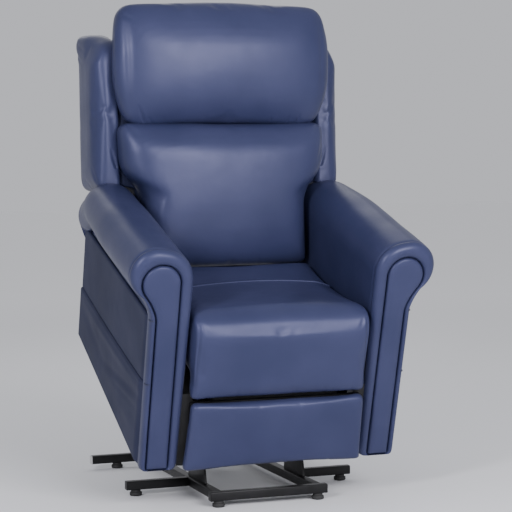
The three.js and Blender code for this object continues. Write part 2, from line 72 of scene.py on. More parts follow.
# ---- frames of the chair and of its back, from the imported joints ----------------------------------
joints = {joint["name"]: joint for joint in frame["joints"]}
CHAIR_TILT = math.radians(17.5)
BACK_LEAN = math.radians(18.5)
BACK_PIVOT = Vector((0, 0.585, 0.445))  # in the chair frame
FLOOR_PIVOT_Y = 0.2  # the lift pivot's y in the floor frame
pivot = Vector(joints["recline"]["pos_m"])
CHAIR = (Matrix.Translation(pivot) @ Matrix.Rotation(CHAIR_TILT, 4, "X")
         @ Matrix.Translation(-BACK_PIVOT))
BACK = Matrix.Translation(pivot) @ Matrix.Rotation(CHAIR_TILT - BACK_LEAN, 4, "X")
floor_y = joints["lift"]["pos_m"][1] - FLOOR_PIVOT_Y

# ---- camera ---------------------------------------------------------------------------------------
AZIMUTH, ELEVATION, ROLL = (math.radians(a) for a in (-19.17, 3.06, -0.72))
DISTANCE = 5.17
TARGET = Vector((0.096, 0.338 + floor_y, 0.6625))
LENS = 123.3


def add_camera():
    camera = bpy.data.objects.new("camera", bpy.data.cameras.new("camera"))
    bpy.context.scene.collection.objects.link(camera)
    back = Vector((math.sin(AZIMUTH) * math.cos(ELEVATION),
                   -math.cos(AZIMUTH) * math.cos(ELEVATION), math.sin(ELEVATION)))
    turn = back.to_track_quat("Z", "Y").to_matrix().to_4x4()
    camera.matrix_world = (Matrix.Translation(TARGET + back * DISTANCE) @ turn
                           @ Matrix.Rotation(ROLL, 4, "Z"))
    camera.data.lens = LENS
    camera.data.sensor_width = 36
    bpy.context.scene.camera = camera


# ---- materials ------------------------------------------------------------------------------------
def new_material(name, roughness, metallic=0.0, specular=0.5):
    material = bpy.data.materials.new(name)
    material.use_nodes = True
    tree = material.node_tree
    shader = tree.nodes["Principled BSDF"]
    shader.inputs["Roughness"].default_value = roughness
    shader.inputs["Metallic"].default_value = metallic
    shader.inputs["Specular IOR Level"].default_value = specular
    coordinates = tree.nodes.new("ShaderNodeTexCoord")
    return material, tree, shader, coordinates.outputs["Object"]


def noise_node(tree, vector, scale, detail=3.0, roughness=0.5):
    node = tree.nodes.new("ShaderNodeTexNoise")
    node.inputs["Scale"].default_value = scale
    node.inputs["Detail"].default_value = detail
    node.inputs["Roughness"].default_value = roughness
    tree.links.new(vector, node.inputs["Vector"])
    return node.outputs["Fac"]


def ramp(tree, value, low, high, start=0.35, end=0.65):
    """A colour ramp from low to high as value goes from start to end."""
    node = tree.nodes.new("ShaderNodeValToRGB")
    node.color_ramp.elements[0].position = start
    node.color_ramp.elements[1].position = end
    node.color_ramp.elements[0].color = (*low, 1)
    node.color_ramp.elements[1].color = (*high, 1)
    tree.links.new(value, node.inputs["Fac"])
    return node.outputs["Color"]


def span(tree, value, low, high):
    node = tree.nodes.new("ShaderNodeMapRange")
    node.inputs["To Min"].default_value = low
    node.inputs["To Max"].default_value = high
    tree.links.new(value, node.inputs["Value"])
    return node.outputs["Result"]


def bump(tree, shader, height, strength, distance, previous=None):
    node = tree.nodes.new("ShaderNodeBump")
    node.inputs["Strength"].default_value = strength
    node.inputs["Distance"].default_value = distance
    tree.links.new(height, node.inputs["Height"])
    if previous is not None:
        tree.links.new(previous, node.inputs["Normal"])
    tree.links.new(node.outputs["Normal"], shader.inputs["Normal"])
    return node.outputs["Normal"]


def leather_material(name, low, high, rough_low=0.33, rough_high=0.45, specular=0.40):
    """Smooth grained leather: pebbled cells about 1.5 mm across, fine pores and soft unevenness."""
    material, tree, shader, place = new_material(name, 0.42, specular=specular)
    shader.inputs["Specular Tint"].default_value = (0.68, 0.69, 1.0, 1)
    tree.links.new(ramp(tree, noise_node(tree, place, 5.5, 4), low, high), shader.inputs["Base Color"])
    patches = noise_node(tree, place, 14, 3)
    tree.links.new(span(tree, patches, rough_low, rough_high), shader.inputs["Roughness"])
    cells = tree.nodes.new("ShaderNodeTexVoronoi")
    cells.feature = "SMOOTH_F1"
    cells.inputs["Scale"].default_value = 620
    tree.links.new(place, cells.inputs["Vector"])
    normal = bump(tree, shader, cells.outputs["Distance"], 0.16, 0.0004)
    normal = bump(tree, shader, noise_node(tree, place, 1900, 2), 0.10, 0.0002, normal)
    bump(tree, shader, noise_node(tree, place, 26, 3, 0.55), 0.10, 0.004, normal)
    return material


def coated_material(name, low, high, roughness, metallic=0.0, grain=900, strength=0.12, specular=0.5):
    """Powder coat, moulded plastic or rubber: a fine orange-peel grain and slightly uneven tone."""
    material, tree, shader, place = new_material(name, roughness, metallic, specular)
    tree.links.new(ramp(tree, noise_node(tree, place, 30, 4), low, high), shader.inputs["Base Color"])
    tree.links.new(span(tree, noise_node(tree, place, 60, 3), roughness - 0.07, roughness + 0.09),
                   shader.inputs["Roughness"])
    bump(tree, shader, noise_node(tree, place, grain, 2), strength, 0.0004)
    return material


def wood_material():
    """Raw plywood with stretched grain."""
    material, tree, shader, place = new_material("frame_wood", 0.7)
    mapping = tree.nodes.new("ShaderNodeMapping")
    mapping.inputs["Scale"].default_value = (9, 9, 1)
    tree.links.new(place, mapping.inputs["Vector"])
    grain = noise_node(tree, mapping.outputs["Vector"], 14, 6, 0.65)
    tree.links.new(ramp(tree, grain, (0.26, 0.16, 0.085), (0.50, 0.35, 0.21), 0.3, 0.7),
                   shader.inputs["Base Color"])
    bump(tree, shader, grain, 0.3, 0.001)
    return material


LEATHER = leather_material("navy_leather", (0.0225, 0.0275, 0.067), (0.030, 0.035, 0.081))
# A darker, duller copy of the navy leather for the outer sides, back and skirt: its darker colour is painted
# shade for faces turned away from the lamps.
SHADED_SIDE_LEATHER = leather_material("navy_leather_side_painted_shade", (0.018, 0.0215, 0.047), (0.024, 0.0275, 0.057),
                                0.48, 0.6, 0.12)
THREAD = coated_material("seam_thread", (0.014, 0.017, 0.036), (0.020, 0.024, 0.048), 0.6, grain=2500)
STEEL = coated_material("black_powder_coat", (0.003, 0.003, 0.0033), (0.006, 0.006, 0.0066), 0.40,
                        specular=0.3)
RUBBER = coated_material("foot_rubber", (0.010, 0.010, 0.010), (0.020, 0.020, 0.020), 0.7, grain=500)
CASING = coated_material("actuator_casing", (0.014, 0.015, 0.017), (0.024, 0.025, 0.028), 0.5, grain=1500)
ZINC = coated_material("zinc_plate", (0.40, 0.40, 0.42), (0.56, 0.56, 0.58), 0.32, 0.9, 1400, 0.05)
CAP = coated_material("pale_cap", (0.42, 0.42, 0.42), (0.55, 0.55, 0.54), 0.5)
BUTTON = coated_material("button_grey", (0.42, 0.43, 0.45), (0.52, 0.53, 0.55), 0.45)
WOOD = wood_material()
# Near-black lining: it closes the gaps round the leg rest, and its colour is painted shade for those gaps.
LINING_PAINTED_SHADE = coated_material("black_lining_painted_shade", (0.006, 0.006, 0.007), (0.012, 0.012, 0.013), 0.85,
                         grain=2200, strength=0.3)


# ---- mesh helpers ---------------------------------------------------------------------------------
def make(name, points, faces, material, matrix=None):
    """A smooth-shaded mesh from points in metres, in the frame that matrix gives."""
    mesh = bpy.data.meshes.new(name)
    mesh.from_pydata([tuple(p) for p in points], [], faces)
    if matrix is not None:
        mesh.transform(matrix)
    mesh.materials.append(material)
    piece = bpy.data.objects.new(name, mesh)
    bpy.context.scene.collection.objects.link(piece)
    tidy(piece)
    return piece


def tidy(piece):
    """Welds doubled points, drops slivers and turns all faces outward."""
    work = bmesh.new()
    work.from_mesh(piece.data)
    bmesh.ops.remove_doubles(work, verts=work.verts, dist=1e-5)
    bmesh.ops.dissolve_degenerate(work, edges=work.edges, dist=1e-6)
    bmesh.ops.recalc_face_normals(work, faces=work.faces)
    for face in work.faces:
        face.smooth = True
    work.to_mesh(piece.data)
    work.free()


def loft(rings, closed_ends=True):
    """Points and faces of a surface through rings of equal length, each end closed by a fan."""
    count = len(rings[0])
    points = [p for ring in rings for p in ring]
    faces = []
    for i in range(len(rings) - 1):
        for k in range(count):
            n = (k + 1) % count
            faces.append((i * count + k, i * count + n, (i + 1) * count + n, (i + 1) * count + k))
    if closed_ends:
        for start in (0, (len(rings) - 1) * count):
            points.append(sum((points[start + k] for k in range(count)), Vector()) / count)
            centre = len(points) - 1
            faces += [(start + k, start + (k + 1) % count, centre) for k in range(count)]
    return points, faces


def slab(across, up, place):
    """Points and faces of a closed thin sheet of across by up faces. place(layer, u, v) gives a point
    in mm for layer 0 and then layer 1, u and v running from 0 to 1."""
    points = [Vector(place(layer, i / across, k / up)) * MM
              for layer in (0, 1) for i in range(across + 1) for k in range(up + 1)]
    row, size = up + 1, (across + 1) * (up + 1)
    faces = []
    for base in (0, size):
        for i in range(across):
            for k in range(up):
                a = base + i * row + k
                faces.append((a, a + row, a + row + 1, a + 1))
    border = ([i * row for i in range(across)] + [across * row + k for k in range(up)]
              + [i * row + up for i in range(across, 0, -1)] + list(range(up, 0, -1)))
    for a, b in zip(border, border[1:] + border[:1]):
        faces.append((a, b, b + size, a + size))
    return points, faces


def coordinates(piece):
    flat = np.empty(len(piece.data.vertices) * 3)
    piece.data.vertices.foreach_get("co", flat)
    return flat.reshape(-1, 3)


def set_coordinates(piece, points):
    piece.data.vertices.foreach_set("co", points.reshape(-1))
    piece.data.update()


def apply_modifiers(piece):
    """Replaces the mesh by its evaluated copy and clears the modifiers."""
    graph = bpy.context.evaluated_depsgraph_get()
    mesh = bpy.data.meshes.new_from_object(piece.evaluated_get(graph))
    piece.modifiers.clear()
    piece.data = mesh
    for polygon in mesh.polygons:
        polygon.use_smooth = True


def subdivide(piece):
    modifier = piece.modifiers.new("subdivision", "SUBSURF")
    modifier.levels = 1
    apply_modifiers(piece)


def smooth_step(value, start, end):
    t = np.clip((value - start) / (end - start), 0, 1)
    return t * t * (3 - 2 * t)


SIMULATION_FRAMES = 20


def stuff(piece, cap, pressure=4.0, voxel=0.006, settling=3):
    """Fills a piece like a cushion: remesh, blow it up as cloth, let no point move past cap, and
    smooth it as often as settling says."""
    remesh = piece.modifiers.new("remesh", "REMESH")
    remesh.mode = "VOXEL"
    remesh.voxel_size = voxel
    apply_modifiers(piece)
    relax = piece.modifiers.new("relax", "SMOOTH")
    relax.factor = 0.5
    relax.iterations = 4
    apply_modifiers(piece)
    rest = coordinates(piece)
    cloth = piece.modifiers.new("cloth", "CLOTH")
    settings = cloth.settings
    settings.quality = 4
    settings.mass = 0.35
    settings.tension_stiffness = 22
    settings.compression_stiffness = 22
    settings.bending_stiffness = 6
    settings.use_pressure = True
    settings.uniform_pressure_force = pressure
    settings.effector_weights.gravity = 0
    cloth.point_cache.frame_start = 1
    cloth.point_cache.frame_end = SIMULATION_FRAMES
    scene = bpy.context.scene
    for step in range(1, SIMULATION_FRAMES + 1):
        scene.frame_set(step)
    graph = bpy.context.evaluated_depsgraph_get()
    blown = piece.evaluated_get(graph).to_mesh()
    flat = np.empty(len(blown.vertices) * 3)
    blown.vertices.foreach_get("co", flat)
    move = flat.reshape(-1, 3) - rest
    length = np.maximum(np.linalg.norm(move, axis=1, keepdims=True), 1e-9)
    move *= np.tanh(length / cap) * cap / length
    piece.modifiers.clear()
    scene.frame_set(1)
    set_coordinates(piece, rest + move)
    relax = piece.modifiers.new("relax", "SMOOTH")
    relax.factor = 0.5
    relax.iterations = settling
    apply_modifiers(piece)


def crease(piece, start, end, depth, width, across=(0, 2), push=(0, 1, 0), keep=None, pucker=False):
    """A fold: points near the line from start to end, seen along the axis that across leaves out,
    sink by depth along push, and their neighbours rise a little. A fold fades towards both its ends,
    a pucker only towards its second end, away from the seam that it starts at."""
    points = coordinates(piece)
    a, b = np.array(start) * MM, np.array(end) * MM
    flat = points[:, across]
    line = b - a
    along = np.clip(((flat - a) @ line) / (line @ line), 0, 1)
    distance = np.linalg.norm(flat - (a + along[:, None] * line), axis=1) / (width * MM)
    fade = (1 - along) ** 0.8 if pucker else np.sin(np.pi * np.clip(along, 0.04, 0.96)) ** 0.6
    weight = (np.exp(-distance ** 2) - 0.35 * np.exp(-((distance / 2.2) ** 2))) * fade
    if keep is not None:
        weight *= keep(points)
    set_coordinates(piece, points + weight[:, None] * np.array(push) * depth * MM)


def swell(piece, size, scale, seed, keep=None):
    """Soft unevenness along the normals: size in mm, over lumps about 1/scale metres across."""
    points = coordinates(piece)
    normals = np.empty(len(points) * 3)
    piece.data.vertices.foreach_get("normal", normals)
    offset = Vector((seed * 3.7, seed * 1.3, seed * 2.9))
    lumps = np.array([noise.noise(Vector(p) * scale + offset) for p in points])
    if keep is not None:
        lumps *= keep(points)
    set_coordinates(piece, points + normals.reshape(-1, 3) * (lumps * size * MM)[:, None])


def rounded(points, radii, step=14):
    """A closed outline through 2-D points in mm, its corners rounded and its sides cut every step."""
    count = len(points)
    corners = [Vector(p) for p in points]
    radii = [radii] * count if isinstance(radii, (int, float)) else radii
    line = []
    for i, corner in enumerate(corners):
        before = corner + (corners[i - 1] - corner).normalized() * radii[i]
        after = corner + (corners[(i + 1) % count] - corner).normalized() * radii[i]
        line += [before * (1 - t) ** 2 + corner * 2 * t * (1 - t) + after * t * t
                 for t in (k / 6 for k in range(7))]
    fine = []
    for a, b in zip(line, line[1:] + line[:1]):
        parts = max(1, round((b - a).length / step))
        fine += [a.lerp(b, k / parts) for k in range(parts)]
    return fine


def ring_pad(name, outline, profile, material, thin="y", warp=None, crown=None):
    """A closed pad round its outline in mm. Each (inset, height) of the profile draws the outline in
    by inset and lays it at that height along the axis named by thin. crown(u, v), with u and v
    running from -1 to 1 across the outline, raises the front, fully in its middle and less towards
    the rim, and the last rings shrink onto the centre."""
    low = Vector((min(p.x for p in outline), min(p.y for p in outline)))
    high = Vector((max(p.x for p in outline), max(p.y for p in outline)))
    centre, half = (low + high) / 2, (high - low) / 2
    rim, face = profile[3][1], profile[-1][1]
    steps = [(inset, height, 1.0) for inset, height in profile]
    if crown:
        steps += [(*profile[-1], share) for share in (0.75, 0.5, 0.25, 0.06)]
    rings = []
    for index, (inset, height, share) in enumerate(steps):
        raised = (height - rim) / (face - rim) if index > 3 and crown else 0
        ring = []
        for p in outline:
            u = (p.x - centre.x) / half.x * (1 - inset / half.x) * share
            v = (p.y - centre.y) / half.y * (1 - inset / half.y) * share
            a, b = centre.x + u * half.x, centre.y + v * half.y
            level = height + (crown(u, v) * raised if crown else 0)
            place = Vector((a, level, b)) if thin == "y" else Vector((level, a, b))
            ring.append((warp(place) if warp else place) * MM)
        rings.append(ring)
    return make(name, *loft(rings), material)


def settle(piece, body, slot, matrix, *nodes, padded=None):
    """Puts a finished piece in the row frame, ties it to its body and hides its CAD nodes; slot is not used.
    """
    piece.data.transform(matrix)
    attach(piece, body)
    if nodes:
        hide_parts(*nodes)
    return piece


def piping(name, path, radius, material, matrix, body):
    """A thin cord or welt along a path in mm, as a curve."""
    curve = bpy.data.curves.new(name, "CURVE")
    curve.dimensions = "3D"
    curve.bevel_depth = radius * MM
    curve.bevel_resolution = 3
    curve.resolution_u = 4
    curve.use_fill_caps = True
    spline = curve.splines.new("POLY")
    spline.points.add(len(path) - 1)
    for point, place in zip(spline.points, path):
        point.co = (*(matrix @ (Vector(place) * MM)), 1)
    spline.use_smooth = True
    curve.materials.append(material)
    piece = bpy.data.objects.new(name, curve)
    bpy.context.scene.collection.objects.link(piece)
    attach(piece, body)
    return piece


# ---- arms -----------------------------------------------------------------------------------------
ARM_INNER, ARM_OUTER = 264, 362
SHOULDER_INNER = 256  # the inner face leans in towards the roll
FRONT_FLARE = 8  # how much further out the arm's front border stands
ARM_BOTTOM, SIDE_SLOPE = 46, 0.1306
ARM_REAR = 733
ROLL_X, ROLL_Z, ROLL_R = 358, 604, 71
NECK_Z = 486
HEAD_X, HEAD_Z, HEAD_R = 344, 580, 53  # the round head of the keyhole panel
PANEL_LEFT, PANEL_RIGHT = 291, 353
STRAIGHT, ROUND, NECK, BOTTOM = 22, 40, 12, 8  # points along each stretch of the arm's outline


def stretch(start, end, count):
    return [Vector(start).lerp(Vector(end), i / count) for i in range(count)]


def bezier(points, count):
    a, b, c = (Vector(p) for p in points)
    return [a * (1 - t) ** 2 + b * 2 * t * (1 - t) + c * t * t for t in (i / count for i in range(count))]


def arm_outline(bottom, drop=0.0, tuck=0.0, flare=0.0):
    """The arm's section in (x, z): up the inner face, over the roll, down the neck and back."""
    x, z = ROLL_X - tuck, ROLL_Z - drop
    outer = ARM_OUTER + flare
    shoulder = (SHOULDER_INNER, z - 22)
    first = 1.72
    top = (x + ROLL_R * math.cos(first), z + ROLL_R * math.sin(first))
    points = stretch((ARM_INNER, bottom), shoulder, STRAIGHT)
    points += bezier([shoulder, (SHOULDER_INNER + 2, z + 62), top], ROUND // 2)
    last = -1.05
    for i in range(ROUND):
        angle = first + (last - first) * i / ROUND
        points.append(Vector((x + ROLL_R * math.cos(angle), z + ROLL_R * math.sin(angle))))
    under = (x + ROLL_R * math.cos(last), z + ROLL_R * math.sin(last))
    points += bezier([under, (outer + 6 - tuck / 2, NECK_Z + 28 - drop / 2), (outer, NECK_Z)], NECK)
    points += stretch((outer, NECK_Z), (outer, bottom), STRAIGHT)
    points += stretch((outer, bottom), (ARM_INNER, bottom), BOTTOM)
    return points


def keyhole_outline(bottom, grow=0.0):
    """The front panel's outline, with the same number of points as the arm's outline."""
    left, right = PANEL_LEFT - grow, PANEL_RIGHT + grow
    x, z, radius = HEAD_X, HEAD_Z, HEAD_R + grow
    points = stretch((left, bottom), (left, z), STRAIGHT)
    count = ROUND + ROUND // 2
    last = -0.62
    for i in range(count):
        angle = math.pi + (last - math.pi) * i / count
        points.append(Vector((x + radius * math.cos(angle), z + radius * math.sin(angle))))
    under = (x + radius * math.cos(last), z + radius * math.sin(last))
    points += bezier([under, (right + 8, 518), (right, NECK_Z - 4)], NECK)
    points += stretch((right, NECK_Z - 4), (right, bottom), STRAIGHT)
    points += stretch((right, bottom), (left, bottom), BOTTOM)
    return points


def keyhole_pad(name, bottom, grow, side):
    """The padded strip that fills the keyhole: rows across it, each bulging away from its edges."""
    outline = keyhole_outline(bottom, grow)
    radius = HEAD_R + grow
    bulge = ((0, 0.4, 1.6, 4, 8, 13, 19), (7, 2.5, -0.6, -2.6, -4.0, -4.8, -5.2))  # inset and depth
    rows = [bottom + step for step in (0.05, 0.4, 1.6, 4, 8, 13, 19)] + list(range(bottom + 30, HEAD_Z, 14))
    rows += [HEAD_Z + radius * math.sin(math.pi / 2 * k / 16) for k in range(16)] + [HEAD_Z + radius - 0.05]
    across = 16
    rings = []
    for z in rows:
        edges = [a.x + (b.x - a.x) * (z - a.y) / (b.y - a.y)
                 for a, b in zip(outline, outline[1:] + outline[:1]) if (a.y <= z) != (b.y <= z)]
        left, right = min(edges), max(edges)
        ring = []
        for k in range(across + 1):
            x = left + (right - left) * (0.5 - 0.5 * math.cos(math.pi * k / across))
            inset = radius - math.hypot(x - HEAD_X, z - HEAD_Z) if z > HEAD_Z else min(x - left, right - x)
            ring.append((x, float(np.interp(min(inset, z - bottom), *bulge)), z))
        ring += [(x, 11.2, z) for x, y, z in reversed(ring)]
        rings.append([Vector((side * x, y, z)) * MM for x, y, z in ring])
    return make(name, *loft(rings), LEATHER)


def mix_ring(outer, inner, share, y, side):
    ring = []
    for a, b in zip(outer, inner):
        p = a.lerp(b, share)
        ring.append(Vector((side * p.x, y, p.y)) * MM)
    return ring


def arm_section(y):
    """Outline at depth y: the roll drops and tucks in towards the rear."""
    late = smooth_step(y, 330, 735)
    rear = smooth_step(y, 560, 735)
    flare = FRONT_FLARE * (1 - float(smooth_step(y, 14, 46)))
    return arm_outline(ARM_BOTTOM + SIDE_SLOPE * max(y, 0), drop=14 * late + 62 * rear ** 1.6,
                       tuck=22 * late + 14 * rear, flare=flare)


def build_arm(label, side):
    front = arm_section(0)
    hole = keyhole_outline(ARM_BOTTOM)
    hub = [Vector((322, 330))] * len(front)
    rings = [mix_ring(hole, hub, 0.15, 13, side)]
    for share, y in ((1.0, 12), (0.985, 6), (0.93, 0.5), (0.80, -3.6), (0.55, -5.5), (0.32, -3.5),
                     (0.15, 1.5), (0.04, 8), (0.0, 14), (0.055, 19), (0.055, 20.5), (0.0, 25)):
        rings.append(mix_ring(front, hole, share, y, side))
    for y in list(range(36, 720, 14)) + [722]:
        rings.append(mix_ring(arm_section(y), hub, 0.0, y, side))
    for share, y in ((0.02, 729), (0.08, ARM_REAR), (0.4, ARM_REAR + 1)):
        rings.append(mix_ring(arm_section(722), hub, share, y, side))
    arm = make(f"arm_{label}_cover", *loft(rings), LEATHER)
    swell(arm, 1.6, 9, 3 + side, keep=lambda p: smooth_step(p[:, 1], 0.02, 0.10))
    subdivide(arm)
    settle(arm, "chair", "leather", CHAIR, f"arm_{label}", padded=0.8)
    panel = keyhole_pad(f"arm_front_panel_{label}_cover", ARM_BOTTOM + 1, -1.2, side)
    subdivide(panel)
    settle(panel, "chair", "leather", CHAIR, f"arm_front_panel_{label}", padded=0.7)
    for place, z in (("upper", NECK_Z - 4), ("lower", 301)):
        seam = [(side * x, y, z + (362 - x) * 0.2) for x, y in
                ((355, 8), (356, 2), (358, -2.6), (361.5, -5.2), (365, -4.6), (367.5, -1.5), (369.4, 4),
                 (370.2, 11))]
        piping(f"arm_border_seam_{place}_{label}", seam, 1.1, THREAD, CHAIR, "chair")


def side_panel(name, low, high, stand, folds, seed, side, node):
    """An outer side panel between two edge lines z = low(y) and z = high(y), puffed by stand mm.
    Each fold is (y, z) to (y, z), its height and its width."""
    front, rear = 11, 726
    rim, fade_in = 8, 26  # how far in from an edge the panel and its folds reach their full height

    def place(layer, u, v):
        y = front + (rear - front) * u
        z = low(y) + (high(y) - low(y)) * v
        if layer:
            return side * (ARM_OUTER + 0.6), y, z
        edge = min((1 - u) * (rear - front), v * (high(y) - low(y)), (1 - v) * (high(y) - low(y)))
        rise = math.sqrt(max(0.0, 1 - (1 - min(edge / rim, 1)) ** 2))
        rise *= 0.12 + 0.88 * float(smooth_step(y, front, front + 42))
        relief = noise.noise(Vector((y * 0.006, z * 0.009, seed))) * 1.5
        for start, end, height, width in folds:
            a, b = Vector(start), Vector(end)
            t = min(1, max(0, (Vector((y, z)) - a).dot(b - a) / (b - a).length_squared))
            distance = (Vector((y, z)) - a.lerp(b, t)).length / width
            relief += height * math.exp(-distance * distance) * math.sin(math.pi * (0.06 + 0.88 * t))
        puff = rise * stand + relief * float(smooth_step(edge, 0, fade_in)) * rise
        return side * (ARM_OUTER + 0.6 + puff), y, z

    panel = make(name, *slab(150, 60, place), SHADED_SIDE_LEATHER)
    settle(panel, "chair", "side_leather", CHAIR, node, padded=0.3)


def seam_line(y):
    """Height of the seam across the arm's side: it sags a little between its ends."""
    return 300 - 6 * math.sin(math.pi * min(1, max(0, (y - 10) / 716)))


UPPER_FOLDS = [((60, 452), (420, 330), 1.4, 34), ((640, 330), (420, 450), -1.2, 40)]
LOWER_FOLDS = [((40, 272), (660, 266), 4.0, 17), ((28, 250), (430, 184), -3.6, 13),
               ((20, 226), (400, 160), 2.6, 20), ((57, 208), (311, 176), -2.6, 11),
               ((40, 150), (300, 140), 1.8, 22), ((690, 250), (430, 190), -2.2, 20)]


def build_side_panels():
    for label, side in (("left", -1), ("right", 1)):
        side_panel(f"arm_side_panel_{label}_cover", lambda y: seam_line(y) - 4, lambda y: NECK_Z + 1, 8,
                   UPPER_FOLDS, 2 + side, side, f"arm_side_panel_{label}")
        side_panel(f"arm_lower_panel_{label}_cover", lambda y: ARM_BOTTOM + SIDE_SLOPE * y + 1, seam_line,
                   12.5, LOWER_FOLDS, 5 + side, side, f"arm_lower_panel_{label}")
        hem = [(side * (ARM_OUTER + 11.9), y, seam_line(y) - 9) for y in range(48, 722, 4)]
        stitches(f"pocket_stitch_{label}", hem, "chair", CHAIR)


# ---- seat -----------------------------------------------------------------------------------------
SEAT_HALF = 249
SEAT_SEAM_Y = 312


def seat_top(y):
    """Height of the seat's top in its middle, without its crown."""
    return float(np.interp(y, (70, 180, SEAT_SEAM_Y), (484, 466, 452)))


def seat_section(inset, crown):
    """The seat's side outline in (y, z), shrunk by inset and crowned by crown mm in its top."""
    top = [(468, 444), (440, 452)] + [(y, seat_top(y)) for y in (SEAT_SEAM_Y, 180, 70)] + [(20, 488)]
    front = [(-13, 472), (-27, 440), (-31, 390), (-32, 320), (-31, 272), (-24, 255.5)]
    under = [(-8, 255), (0, 272), (8, 318), (30, 324), (200, 324), (440, 324), (468, 336)]
    lift = [0, 0.2, 0.6, 1.0, 0.8, 0.4]
    points = [(y, z + crown * c - inset) for (y, z), c in zip(top, lift)]
    points += [(y + inset, z - inset * 0.4) for y, z in front[:3]]
    points += [(y + inset, z + inset * 0.1) for y, z in front[3:]]
    points += [(y + inset * 0.2, z + inset * 0.3) for y, z in under]
    points[0] = (points[0][0] - inset, points[0][1])
    points[-1] = (points[-1][0] - inset, points[-1][1])
    return points


def fine_ring(points, x, step=8):
    """The closed outline through (y, z) points as Catmull-Rom, at one x."""
    ring = []
    count = len(points)
    for i in range(count):
        p0, p1, p2, p3 = (Vector(points[(i + k) % count]) for k in (-1, 0, 1, 2))
        for n in range(step):
            t = n / step
            q = 0.5 * (2 * p1 + (p2 - p0) * t + (2 * p0 - 5 * p1 + 4 * p2 - p3) * t ** 2
                       + (3 * p1 - p0 - 3 * p2 + p3) * t ** 3)
            ring.append(Vector((x, q.x, q.y)) * MM)
    return ring


def build_seat():
    edge = 16
    angles = np.linspace(0, math.pi / 2, 6)
    stations = [(-SEAT_HALF + edge * (1 - math.cos(a)), edge * 0.55 * (1 - math.sin(a))) for a in angles]
    middle = [(x, 0.0) for x in np.linspace(-SEAT_HALF + edge, SEAT_HALF - edge, 30)[1:-1]]
    stations += middle + [(-x, inset) for x, inset in reversed(stations)]
    rings = [fine_ring(seat_section(inset, 11 * (1 - (x / SEAT_HALF) ** 2) - 2), x) for x, inset in stations]
    seat = make("seat_cover", *loft(rings), LEATHER)
    stuff(seat, 0.0045, pressure=3.0, voxel=0.0055, settling=9)
    subdivide(seat)
    on_top = lambda p: smooth_step(p[:, 2], 0.40, 0.43)
    arch = lambda x: 297 - 0.0005 * (x - 40) ** 2
    for a in range(-250, 250, 20):
        crease(seat, (a, arch(a) + 4), (a + 20, arch(a + 20) + 4), -5.5, 4.5, across=(0, 1),
               push=(0, 0, 1), keep=lambda p: on_top(p))
    in_front = lambda p: smooth_step(-p[:, 1], 0.004, 0.02)
    for side in (-1, 1):
        crease(seat, (side * 243, 262), (side * 236, 500), 4.0, 3.4, keep=in_front)
        crease(seat, (side * 232, 478), (side * 214, 440), 2.5, 6.0, keep=in_front, pucker=True)
    for x, lean in ((-205, 9), (-120, -6), (40, 5), (130, -8), (212, -10)):
        crease(seat, (x, 258), (x + lean, 288), 1.6, 7.0, keep=in_front, pucker=True)
    swell(seat, 1.5, 8, 21)
    surface = BVHTree.FromObject(seat, bpy.context.evaluated_depsgraph_get())
    welt = []
    for x in range(-240, 241, 5):
        below = surface.ray_cast(Vector((x, arch(x), 600)) * MM, Vector((0, 0, -1)))[0]
        welt.append((x, arch(x), below.z / MM + 1.6))
    settle(seat, "chair", "leather", CHAIR, "seat_cushion", padded=0.75)
    piping("seat_welt", welt, 2.8, LEATHER, CHAIR, "chair")


def build_legrest():
    def warp(p):
        arch = 4.5 * (1 - (p.x / 257) ** 2) * float(smooth_step(-p.z, -100, -50))
        return Vector((p.x, p.y - 3.5 * (1 - (p.x / 257) ** 2), p.z + arch))

    outline = rounded([(-257, 51), (257, 51), (247, 248), (-247, 248)], [8, 8, 16, 16])
    profile = [(20, -9), (2, -9), (0, -12), (0, -22), (0.6, -28), (2.6, -32.5), (6, -35)] + [
        (inset, -36.5) for inset in (11, 20, 32, 46, 62, 80, 94)]
    crown = lambda u, v: -4 * (1 - u ** 4) * (1 - v ** 4)
    pad = ring_pad("legrest_cover", outline, profile, LEATHER, warp=warp, crown=crown)
    stuff(pad, 0.0035, pressure=2.0, voxel=0.005)
    subdivide(pad)
    in_front = lambda p: smooth_step(-p[:, 1], 0.024, 0.034)
    for start, end, depth, width in (
            ((254, 70), (246, 235), 2.6, 5.0), ((-250, 244), (-236, 214), 2.6, 5.0),
            ((248, 244), (238, 212), 2.6, 5.0), ((-252, 60), (-240, 92), 2.0, 5.0),
            ((-150, 56), (-146, 78), 1.6, 7.0), ((20, 60), (24, 80), 1.4, 8.0),
            ((160, 57), (154, 80), 1.6, 7.0)):
        crease(pad, start, end, depth, width, keep=in_front, pucker=True)
    swell(pad, 1.3, 8, 33)
    settle(pad, "legrest_panel", "leather", CHAIR, "legrest_pad", padded=0.6)


def build_liners():
    """Black lining cloth that closes the chair round the folded leg rest: an apron under the seat's front and
    a strip inside each arm. The cloth closes the gaps, and its near-black colour is painted shade for the
    shadowed leather seen there."""
    for name, low, high, wave, holder in (
            ("seat_apron", (-180, 3, 222), (180, 5, 276), 1.0, "seat_cover"),
            ("side_lining_left", (-265, 8, 50), (-232, 10, 262), 0.6, "arm_left_cover"),
            ("side_lining_right", (232, 8, 50), (265, 10, 262), 0.6, "arm_right_cover")):
        def place(layer, u, v):
            x = low[0] + (high[0] - low[0]) * u
            z = low[2] + (high[2] - low[2]) * v
            ripple = noise.noise(Vector((x * 0.02, z * 0.02, 3))) * wave
            return x, (low, high)[layer][1] + ripple, z

        lining = settle(make(name, *slab(40, 30, place), LINING_PAINTED_SHADE), "chair", "side_leather", CHAIR)


